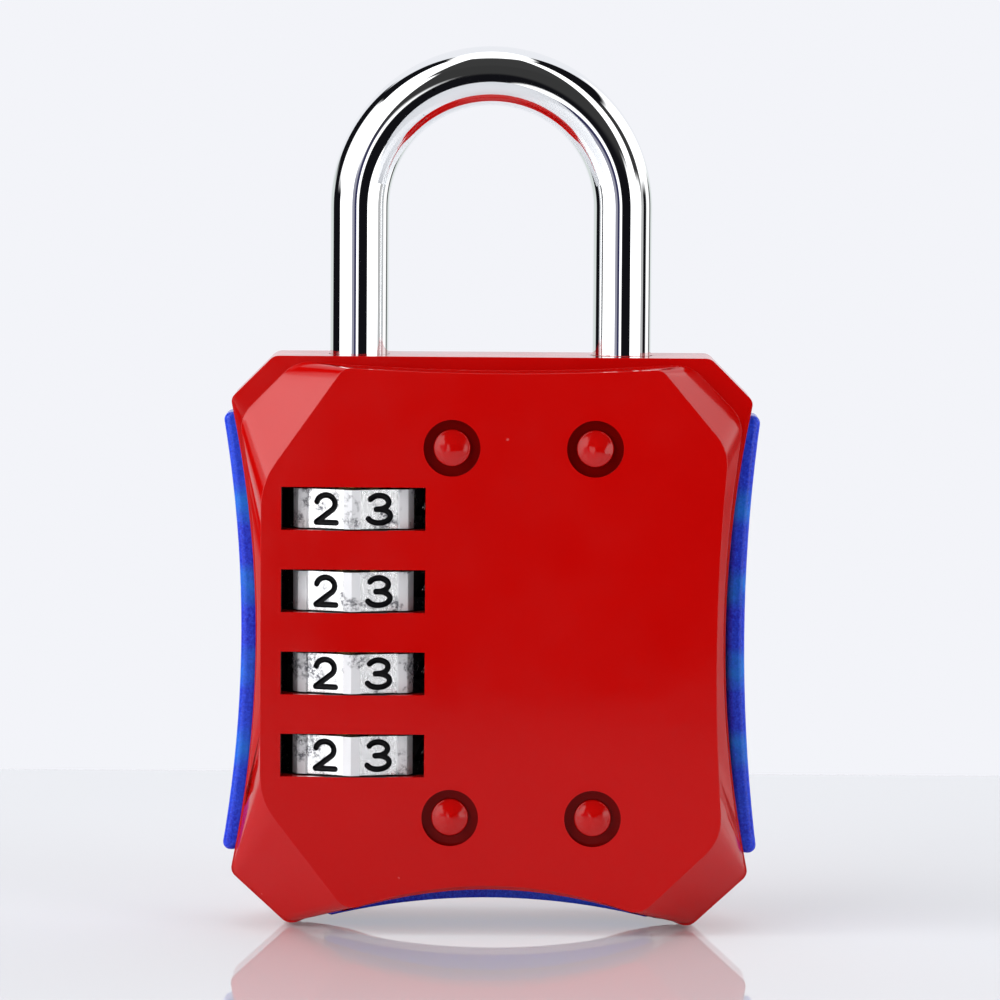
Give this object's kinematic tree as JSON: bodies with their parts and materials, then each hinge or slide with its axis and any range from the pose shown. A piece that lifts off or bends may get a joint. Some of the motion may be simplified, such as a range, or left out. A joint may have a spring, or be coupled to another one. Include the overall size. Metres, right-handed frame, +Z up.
{
  "type": "combination padlock",
  "caption": "Combination padlock with a stack of number wheels, a round sliding shackle, a faceted painted case and coloured trim strips.",
  "frame": {"origin": "middle of the footprint of the whole lock, on the plane its two feet stand on", "axes": "+Z up along the shackle legs, -Y out of the front face with the number wheels, +X to the right seen from the front"},
  "size_m": [0.0554, 0.021, 0.0909],
  "materials": {
    "red_paint": "gloss",
    "blue_plastic": "translucent gloss",
    "chrome_bar": "mirror",
    "dial_plating": "grainy plating",
    "sleeve_brass": "turned",
    "spring_steel": "bright drawn"
  },
  "bodies": {
    "case": {"front_shell": "red_paint", "rear_shell": "red_paint", "left_trim": "blue_plastic", "right_trim": "blue_plastic", "bottom_trim": "blue_plastic", "case_rivets": "red_paint", "shackle_spring": "spring_steel", "reset_spring": "spring_steel", "reset_washer": "spring_steel", "detent_leaf": "spring_steel"},
    "shackle_body": {"shackle": "chrome_bar", "thrust_washer": "spring_steel"},
    "dial_1": {"dial_wheel_1": "dial_plating", "dial_sleeve_1": "sleeve_brass"},
    "dial_2": {"dial_wheel_2": "dial_plating", "dial_sleeve_2": "sleeve_brass"},
    "dial_3": {"dial_wheel_3": "dial_plating", "dial_sleeve_3": "sleeve_brass"},
    "dial_4": {"dial_wheel_4": "dial_plating", "dial_sleeve_4": "sleeve_brass"}
  },
  "joints": [
    {"name": "shackle_lift", "type": "slide", "parent": "case", "child": "shackle_body", "axis": [0, 0, 1], "range_m": [0, 0.00843], "deforming": ["shackle_spring"]},
    {"name": "dial_1_spin", "type": "hinge", "parent": "case", "child": "dial_1", "pos_m": [-0.01375, -0.0009, 0.04375], "axis": [0, 0, 1], "continuous": true},
    {"name": "dial_2_spin", "type": "hinge", "parent": "case", "child": "dial_2", "pos_m": [-0.01375, -0.0009, 0.03532], "axis": [0, 0, 1], "continuous": true},
    {"name": "dial_3_spin", "type": "hinge", "parent": "case", "child": "dial_3", "pos_m": [-0.01375, -0.0009, 0.02689], "axis": [0, 0, 1], "continuous": true},
    {"name": "dial_4_spin", "type": "hinge", "parent": "case", "child": "dial_4", "pos_m": [-0.01375, -0.0009, 0.01846], "axis": [0, 0, 1], "continuous": true}
  ]
}
